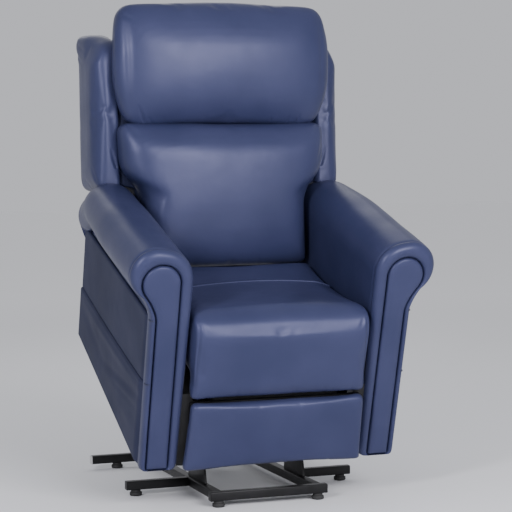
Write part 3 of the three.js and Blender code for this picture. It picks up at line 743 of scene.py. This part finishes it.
# ---- back -----------------------------------------------------------------------------------------
def build_headrest():
    def warp(p):
        top = float(smooth_step(p.z, 600, 735))
        low = float(smooth_step(-p.z, -470, -385))
        z = p.z + (9 + 21 * (1 - (p.x / 325) ** 2)) * top
        y = p.y + 14 * top * float(smooth_step(-p.y, 60, 130)) + 9 * low * float(smooth_step(-p.y, 60, 130))
        return Vector((p.x, y, z))

    outline = rounded([(-292, 370), (292, 370), (331, 470), (334, 600), (316, 713), (-316, 713), (-334, 600),
                       (-331, 470)], [44, 44, 60, 70, 42, 42, 70, 60])
    profile = [(30, -30), (8, -33), (1, -44), (0, -62), (1.5, -77), (6, -90), (14, -100), (25, -107),
               (38, -112), (53, -115.5), (70, -117.5), (88, -118.5), (106, -119), (124, -119),
               (142, -119), (156, -119)]
    crown = lambda u, v: -26 * (1 - abs(u) ** 2.4) * (1 - abs(v - 0.08) ** 2)
    pad = ring_pad("headrest_cover", outline, profile, LEATHER, warp=warp, crown=crown)
    stuff(pad, 0.008, pressure=4.0)
    subdivide(pad)
    in_front = lambda p: smooth_step(-p[:, 1], 0.07, 0.105)
    for start, end, depth, width in (
            ((-246, 388), (-268, 436), 5.0, 4.0), ((-212, 376), (-238, 400), 5.0, 3.6),
            ((-176, 374), (-190, 396), 2.5, 5.0), ((142, 374), (140, 400), 5.0, 4.4),
            ((194, 376), (196, 404), 4.5, 3.6), ((222, 382), (228, 408), 4.0, 3.6),
            ((2, 372), (8, 392), 3.0, 6.0), ((-90, 374), (-96, 390), 2.2, 7.0),
            ((78, 374), (74, 392), 2.0, 6.0),
            ((-302, 690), (-262, 668), 2.4, 8.0), ((302, 690), (262, 664), 2.4, 8.0)):
        crease(pad, start, end, depth, width, keep=in_front, pucker=True)
    crease(pad, (-292, 440), (-296, 690), 2.2, 9.0, keep=in_front)
    crease(pad, (296, 690), (292, 450), 2.0, 9.0, keep=in_front)
    swell(pad, 2.2, 6, 41)
    settle(pad, "backrest", "leather", BACK, "headrest_cushion", padded=0.85)


def build_lumbar():
    def warp(p):
        back = float(smooth_step(p.z, 300, 385)) * float(smooth_step(-p.y, 60, 130))
        return Vector((p.x, p.y + 12 * back, p.z))

    outline = rounded([(-248, -42), (248, -42), (251, 180), (309, 246), (309, 388), (-315, 388), (-315, 246),
                       (-251, 180)], [22, 22, 40, 46, 30, 30, 46, 40])
    profile = [(24, -29), (7, -31), (0, -40), (0, -68), (1.5, -84), (6, -97), (14, -107), (25, -114),
               (38, -119), (54, -122.5), (72, -124.5), (92, -125.5), (114, -126), (138, -126),
               (163, -126), (188, -126)]
    crown = lambda u, v: -26 * (1 - abs(u) ** 2.4) * (1 - abs(v - 0.1) ** 2.2)
    pad = ring_pad("lumbar_cover", outline, profile, LEATHER, warp=warp, crown=crown)
    stuff(pad, 0.008, pressure=4.0)
    subdivide(pad)
    in_front = lambda p: smooth_step(-p[:, 1], 0.06, 0.10)
    for start, end, depth, width in (
            ((-306, 222), (-228, 146), 6.0, 8.0), ((-262, 196), (-222, 112), 4.0, 7.0),
            ((-246, 140), (-206, 60), 2.6, 8.0), ((300, 262), (262, 200), 5.0, 6.0),
            ((300, 330), (276, 262), 4.5, 5.0), ((252, 170), (232, 96), 2.6, 8.0),
            ((-290, 372), (-262, 338), 3.0, 7.0), ((288, 372), (262, 336), 3.0, 7.0),
            ((-110, -32), (-104, -6), 2.0, 8.0), ((90, -32), (84, -6), 2.0, 8.0)):
        crease(pad, start, end, depth, width, keep=in_front, pucker=True)
    swell(pad, 2.4, 6, 47)
    settle(pad, "backrest", "leather", BACK, "lumbar_cushion", padded=0.8)


def build_wing(label, side):
    def warp(p):
        lip = float(smooth_step(p.z, 560, 632) * smooth_step(p.y, 20, 150) * smooth_step(p.x, 340, 376))
        shoulder = float(smooth_step(p.z, 520, 620) * smooth_step(-p.y, -70, 40) * smooth_step(p.x, 325, 380))
        return Vector((side * (p.x + 7 * lip), p.y, p.z + 8 * lip - 40 * shoulder))

    outline = rounded([(-50, 190), (162, 188), (160, 650), (60, 648), (-50, 618)], [16, 18, 24, 50, 46])
    profile = [(14, 300), (4, 302), (0, 308), (0, 344), (1.5, 353), (6, 362), (14, 369), (26, 374),
               (42, 377), (70, 379)]
    pad = ring_pad(f"wing_{label}_cover", outline, profile, LEATHER, thin="x", warp=warp)
    stuff(pad, 0.004, pressure=2.5, voxel=0.005)
    subdivide(pad)
    outside = lambda p: smooth_step(side * p[:, 0], 0.34, 0.37)
    for start, end, depth, width in (((140, 600), (60, 560), 3.0, 7.0), ((120, 622), (30, 590), 2.5, 6.0),
                                     ((-30, 220), (-10, 262), 2.0, 6.0), ((120, 214), (100, 250), 2.0, 7.0)):
        crease(pad, start, end, -side * depth, width, across=(1, 2), push=(1, 0, 0), keep=outside,
               pucker=True)
    facing = lambda p: smooth_step(-p[:, 1], 0.03, 0.046)
    crease(pad, (side * 316, 258), (side * 332, 312), 4.0, 5.0, keep=facing, pucker=True)
    swell(pad, 1.8, 8, 53 + side)
    settle(pad, "backrest", "leather", BACK, f"wing_{label}", padded=0.8)


def build_back_shell():
    """The outer back: a cover round the frame, open at its foot, its seams drawn in behind."""
    heights = [-58, -54, -30] + list(range(0, 180, 20)) + [186, 194, 200, 206] + list(range(220, 601, 20)) + [
        616, 630, 642, 652, 660, 666, 670]
    rings = []
    for z in heights:
        close = float(smooth_step(z, 600, 676))
        half = 253 + 53 * float(smooth_step(z, 192, 206)) - 66 * close - 22 * float(smooth_step(z, 540, 640))
        start, end = -31 + 40 * close ** 2, 147 - 34 * close ** 2
        rings.append([Vector((p.x, p.y, z)) * MM for p in rounded(
            [(-half, start), (half, start), (half, end), (-half, end)], [6, 6, 18, 18], step=16)])
    sizes = {len(ring) for ring in rings}
    least = min(sizes)
    rings = [even_ring(ring, least) for ring in rings]
    points, faces = loft(rings, closed_ends=False)
    points.append(sum(rings[-1], Vector()) / least)
    top = (len(rings) - 1) * least
    faces += [(top + k, top + (k + 1) % least, len(points) - 1) for k in range(least)]
    shell = make("back_shell_cover", points, faces, SHADED_SIDE_LEATHER)
    subdivide(shell)
    behind = lambda p: smooth_step(p[:, 1], 0.10, 0.13)
    for start, end in (((-212, -50), (-240, 640)), ((212, -50), (240, 640)), ((-240, 566), (240, 566))):
        crease(shell, start, end, -4.0, 3.4, keep=behind)
    for start, end, depth, width in (((-60, 40), (-110, 260), 2.0, 26), ((90, 60), (140, 300), 2.0, 30),
                                     ((-30, 560), (-70, 430), 1.8, 26), ((60, 560), (100, 420), 1.8, 24)):
        crease(shell, start, end, depth, width, keep=behind)
    swell(shell, 2.6, 5, 61)
    solid = shell.modifiers.new("thickness", "SOLIDIFY")
    solid.thickness = 0.002
    solid.offset = -1
    apply_modifiers(shell)
    settle(shell, "backrest", "side_leather", BACK, "back_shell", padded=0.4)


def even_ring(ring, count):
    """The same closed ring cut into count equal steps."""
    lengths = [0.0]
    for a, b in zip(ring, ring[1:] + ring[:1]):
        lengths.append(lengths[-1] + (b - a).length)
    closed = ring + ring[:1]
    even, k = [], 0
    for i in range(count):
        want = lengths[-1] * i / count
        while lengths[k + 1] < want:
            k += 1
        share = (want - lengths[k]) / max(lengths[k + 1] - lengths[k], 1e-9)
        even.append(closed[k].lerp(closed[k + 1], share))
    return even


def build_rear_skirt():
    """The loose skirt between the arms behind, hemmed below, with soft vertical waves."""
    half, low, high = 256, 152, 346
    hem_z, hem_width = 176, 2.2
    swing = lambda x: math.sin(x * 0.052 + 0.6)

    def place(layer, u, v):
        x, z = -half + 2 * half * u, low + (high - low) * v
        wave = 2.6 * (1 - v) * swing(x) + 1.2 * noise.noise(Vector((x * 0.02, v * 2, 7)))
        groove = 0 if layer else -1.4 * math.exp(-((z - hem_z) / hem_width) ** 2)
        return x, (722.5, 717)[layer] + wave + groove, z

    skirt = make("rear_skirt_cover", *slab(120, 50, place), SHADED_SIDE_LEATHER)
    settle(skirt, "chair", "side_leather", CHAIR, "rear_skirt")
    hem = [(x, 724.4 + 2.4 * swing(x), 170) for x in range(-248, 249, 4)]
    stitches("skirt_stitch", hem, "chair", CHAIR)


# ---- steel and other hard parts -------------------------------------------------------------------
def stitches(name, path, body, matrix, pitch=6.5, length=4.6, radius=0.55):
    """A row of thread stitches along a path in mm."""
    points, faces = [], []
    walked, due = 0.0, 0.0
    for a, b in zip(path, path[1:]):
        a, b = Vector(a), Vector(b)
        step = b - a
        while due <= walked + step.length:
            centre = a + step.normalized() * (due - walked)
            turn = step.to_track_quat("X", "Z")
            start = len(points)
            for share, size in ((-0.5, 0.35), (-0.3, 0.9), (0, 1.0), (0.3, 0.9), (0.5, 0.35)):
                for k in range(6):
                    angle = math.pi * k / 3
                    offset = Vector((share * length, size * radius * math.cos(angle),
                                     size * radius * math.sin(angle)))
                    points.append((centre + turn @ offset) * MM)
            for i in range(4):
                for k in range(6):
                    n = (k + 1) % 6
                    a = start + i * 6
                    faces.append((a + k, a + n, a + 6 + n, a + 6 + k))
            faces.append(tuple(start + k for k in range(6)))
            faces.append(tuple(start + 24 + k for k in range(5, -1, -1)))
            due += pitch
        walked += step.length
    settle(make(name, points, faces, THREAD), body, "side_leather", matrix)


def refined(node, material, bevel=0.8):
    """The CAD node with its flat faces joined, its sharp edges rounded and a finish of its own."""
    source = frame["nodes"][node]
    mesh = source.data.copy()
    mesh.materials.clear()
    mesh.materials.append(material)
    piece = bpy.data.objects.new(f"{node}_finish", mesh)
    bpy.context.scene.collection.objects.link(piece)
    work = bmesh.new()
    work.from_mesh(mesh)
    bmesh.ops.remove_doubles(work, verts=work.verts, dist=2e-6)
    bmesh.ops.dissolve_limit(work, angle_limit=math.radians(1.5), verts=work.verts, edges=work.edges)
    sharp = [e for e in work.edges if len(e.link_faces) == 2 and e.calc_face_angle(0) > math.radians(38)]
    bmesh.ops.bevel(work, geom=sharp, offset=bevel * MM, segments=2, profile=0.6,
                    affect="EDGES", clamp_overlap=True)
    for face in work.faces:
        face.smooth = True
    work.to_mesh(mesh)
    work.free()
    mesh.set_sharp_from_angle(angle=math.radians(34))
    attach(piece, source["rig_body"])
    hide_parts(node)


def turned(name, profile, axis_matrix, material, body, slot, *nodes, sides=48):
    """A lathed piece: profile is (radius, height) in mm about the local Z of axis_matrix."""
    rings = []
    for radius, height in profile:
        ring = []
        for k in range(sides):
            angle = 2 * math.pi * k / sides
            ring.append(Vector((radius * math.cos(angle), radius * math.sin(angle), height)) * MM)
        rings.append(ring)
    piece = make(name, *loft(rings), material, axis_matrix)
    piece.data.set_sharp_from_angle(angle=math.radians(32))
    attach(piece, body)
    if nodes:
        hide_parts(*nodes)


def build_feet():
    profile = [(9, 0), (14.5, 0.2), (16.6, 1.2), (17.4, 3), (17.4, 8.5), (16.8, 10.2), (14.2, 11.6),
               (13.6, 12.2), (13.6, 16.8), (12.5, 17.3)]
    for place in ("front", "side", "rear"):
        for label in ("left", "right"):
            node = f"foot_{place}_{label}"
            low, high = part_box(node)
            middle = (low + high) / 2
            turned(f"{node}_glide", profile, Matrix.Translation((middle.x, middle.y, 0)), RUBBER,
                   "base", "foot_rubber", node)


def build_tube_caps():
    """Plastic plugs over the ends of the base tubes, the rear ones pale."""
    for node, material in (("base_rear_tube", CAP), ("base_front_tube", STEEL),
                           ("outrigger_left", STEEL), ("outrigger_right", STEEL)):
        low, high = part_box(node)
        middle = (low + high) / 2
        ends = [low.x, high.x] if node.startswith("base") else [low.x if middle.x < 0 else high.x]
        for x in ends:
            out = math.copysign(1, x)
            rings = []
            for half, depth in ((9.8, -1), (12.3, -0.2), (12.6, 0.6), (12.6, 2.0), (11.4, 3.0), (8, 3.3)):
                corner = min(3.0, half * 0.3)
                ring = []
                for cx, cz, first in ((1, 1, 0.0), (-1, 1, 0.5), (-1, -1, 1.0), (1, -1, 1.5)):
                    for k in range(5):
                        angle = math.pi * (first + 0.125 * k)
                        a = cx * (half - corner) + corner * math.cos(angle)
                        b = cz * (half - corner) + corner * math.sin(angle)
                        ring.append(Vector((x + out * depth * MM, middle.y + a * MM, middle.z + b * MM)))
                rings.append(ring)
            side = "left" if x < 0 else "right"
            cap = make(f"cap_{node}" if len(ends) == 1 else f"cap_{node}_{side}", *loft(rings), material)
            cap.data.set_sharp_from_angle(angle=math.radians(40))
            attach(cap, "base")


SOFT_NODES = ("arm", "seat_cushion", "legrest_pad", "back_shell", "lumbar", "headrest", "wing", "foot_",
              "rear_skirt")
FINISHES = {"black_steel": (STEEL, 0.9), "zinc": (ZINC, 0.4), "casing": (CASING, 1.2),
            "frame_wood": (WOOD, 0.8), "button": (BUTTON, 0.5), "side_leather": (SHADED_SIDE_LEATHER, 1.0)}


def build_hard_parts():
    for subpart in frame["record"]["subparts"]:
        node = subpart["node"]
        if not node.startswith(SOFT_NODES):
            refined(node, *FINISHES[subpart["material_slot"]])


# ---- stage ----------------------------------------------------------------------------------------
def add_light(name, place, aim, size, power, colour=(1, 1, 1)):
    data = bpy.data.lights.new(name, "AREA")
    data.shape = "RECTANGLE"
    data.size, data.size_y = size
    data.energy = power
    data.color = colour
    light = bpy.data.objects.new(name, data)
    bpy.context.scene.collection.objects.link(light)
    light.location = place
    light.rotation_euler = (Vector(place) - Vector(aim)).to_track_quat("Z", "Y").to_euler()


def floor_material():
    """Pale matt paper with painted light: its colour is paler away from the chair and darker near it, so that
    it runs into the backdrop.
    """
    material, tree, shader, place = new_material("pale_floor", 0.8, specular=0.1)
    length = tree.nodes.new("ShaderNodeVectorMath")
    length.operation = "LENGTH"
    tree.links.new(place, length.inputs[0])
    distance = span(tree, length.outputs["Value"], 0, 1)
    distance.node.inputs["From Max"].default_value = 12
    # painted light: darker floor near the chair, paler far off
    tree.links.new(ramp(tree, distance, (0.80, 0.805, 0.815), (0.985, 0.985, 0.985), 0.1, 0.6),
                   shader.inputs["Base Color"])
    bump(tree, shader, noise_node(tree, place, 300, 2), 0.05, 0.0004)
    return material


def build_stage():
    world = bpy.data.worlds.new("studio")
    world.use_nodes = True
    world.node_tree.nodes["Background"].inputs["Color"].default_value = (0.93, 0.94, 1.0, 1)
    world.node_tree.nodes["Background"].inputs["Strength"].default_value = 0.64
    bpy.context.scene.world = world
    size = 30
    floor = make("floor", [(-size, -size, 0), (size, -size, 0), (size, size, 0), (-size, size, 0)],
                 [(0, 1, 2, 3)], floor_material())
    aim = (0, 0, 0.6)
    add_light("key", (0.7, -4.2, 2.1), aim, (2.0, 1.6), 195, (0.95, 0.94, 1.0))
    add_light("side", (-3.1, -3.0, 2.1), aim, (0.6, 1.1), 110, (0.95, 0.94, 1.0))
    add_light("rim", (0.5, 3.2, 3.0), aim, (3.0, 1.5), 18)


add_camera()
build_stage()
for name, sign in (("left", -1), ("right", 1)):
    build_arm(name, sign)
    build_wing(name, sign)
build_side_panels()
build_liners()
build_rear_skirt()
build_seat()
build_legrest()
build_lumbar()
build_headrest()
build_back_shell()
build_feet()
build_tube_caps()
build_hard_parts()
